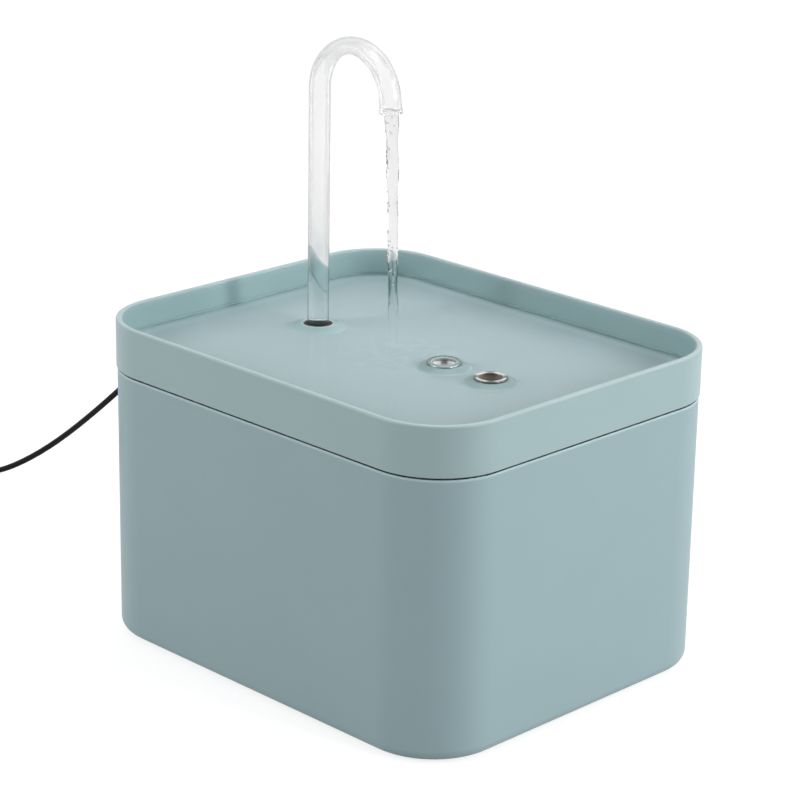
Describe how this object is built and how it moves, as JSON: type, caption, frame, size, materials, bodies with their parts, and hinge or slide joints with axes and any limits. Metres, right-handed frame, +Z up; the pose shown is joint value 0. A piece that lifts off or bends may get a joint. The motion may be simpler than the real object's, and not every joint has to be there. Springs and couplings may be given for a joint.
{
  "type": "pet water fountain",
  "caption": "Rounded rectangular water tank with a lift-off drinking tray, clear cane-shaped spout, drains, filter, submersible pump and USB cable.",
  "frame": {"origin": "middle of the outline, on the surface that the feet stand on", "axes": "+X along the long side, the way the spout pours; +Z up; the cable leaves at -X"},
  "size_m": [0.3823, 0.1782, 0.2233],
  "materials": {
    "tank_plastic": "fine satin moulded plastic, blue-grey",
    "tray_plastic": "satin moulded plastic, blue-grey, wet on the floor",
    "clear_tube": "clear polished",
    "ring_metal": "polished",
    "black_rubber": "matt",
    "grey_rubber": "matt",
    "silicone": "translucent satin",
    "pump_plastic": "satin moulded",
    "white_plastic": "moulded",
    "steel_laminations": "stacked sheet",
    "copper_wire": "enamelled copper wire",
    "circuit_board": "lacquered board",
    "potting": "poured resin",
    "cable_jacket": "satin jacket",
    "white_ceramic": "ground",
    "magnet": "pressed ferrite",
    "cotton": "felted",
    "carbon_grains": "granular",
    "resin_beads": "fine beads",
    "plug_steel": "plated sheet",
    "gold_contacts": "plated"
  },
  "bodies": {
    "base": {"tank": "tank_plastic", "foot_pads": "black_rubber", "cable_grommet": "black_rubber", "pump_housing": "pump_plastic", "pump_suction_cups": "grey_rubber", "stator_core": "steel_laminations", "stator_windings": "copper_wire", "driver_board": "circuit_board", "potting_resin": "potting", "pump_cable_gland": "black_rubber", "pump_lead": "cable_jacket", "rotor_shaft": "white_ceramic", "shaft_bush_front": "grey_rubber", "shaft_bush_rear": "grey_rubber", "impeller_cover": "pump_plastic", "riser_hose": "silicone", "cable_free": "cable_jacket", "cable_coil": "cable_jacket", "cable_tail": "cable_jacket", "cable_tie": "white_plastic", "usb_strain_relief": "black_rubber", "usb_plug_body": "pump_plastic", "usb_plug_shell": "plug_steel", "usb_plug_insulator": "white_plastic", "usb_contacts": "gold_contacts"},
    "tray": {"tray": "tray_plastic", "drain_ring_near": "ring_metal", "drain_ring_far": "ring_metal"},
    "seal": {"spout_seal": "black_rubber"},
    "spout": {"spout_tube": "clear_tube"},
    "filter": {"filter_case": "white_plastic", "filter_grille": "white_plastic", "filter_cotton": "cotton", "filter_carbon": "carbon_grains", "filter_resin": "resin_beads"},
    "rotor": {"rotor_magnet": "magnet", "impeller": "white_plastic"},
    "intake": {"intake_cover": "pump_plastic"},
    "flow_gate": {"flow_slider": "white_plastic"}
  },
  "joints": [
    {"name": "tray_lift", "type": "slide", "parent": "base", "child": "tray", "axis": [0, 0, 1], "range_m": [0, 0.12]},
    {"name": "spout_swivel", "type": "hinge", "parent": "tray", "child": "seal", "pos_m": [-0.046, 0, 0.1118], "axis": [0, 0, 1], "continuous": true},
    {"name": "spout_pull", "type": "slide", "parent": "seal", "child": "spout", "axis": [0, 0, 1], "range_m": [0, 0.065]},
    {"name": "filter_pull", "type": "slide", "parent": "tray", "child": "filter", "axis": [0, 0, -1], "range_m": [0, 0.04]},
    {"name": "rotor_spin", "type": "hinge", "parent": "base", "child": "rotor", "pos_m": [-0.046, 0, 0.0236], "axis": [0, -1, 0], "continuous": true},
    {"name": "intake_pull", "type": "slide", "parent": "base", "child": "intake", "axis": [0, -1, 0], "range_m": [0, 0.025]},
    {"name": "flow_adjust", "type": "slide", "parent": "intake", "child": "flow_gate", "axis": [1, 0, 0], "range_m": [0, 0.005]}
  ]
}
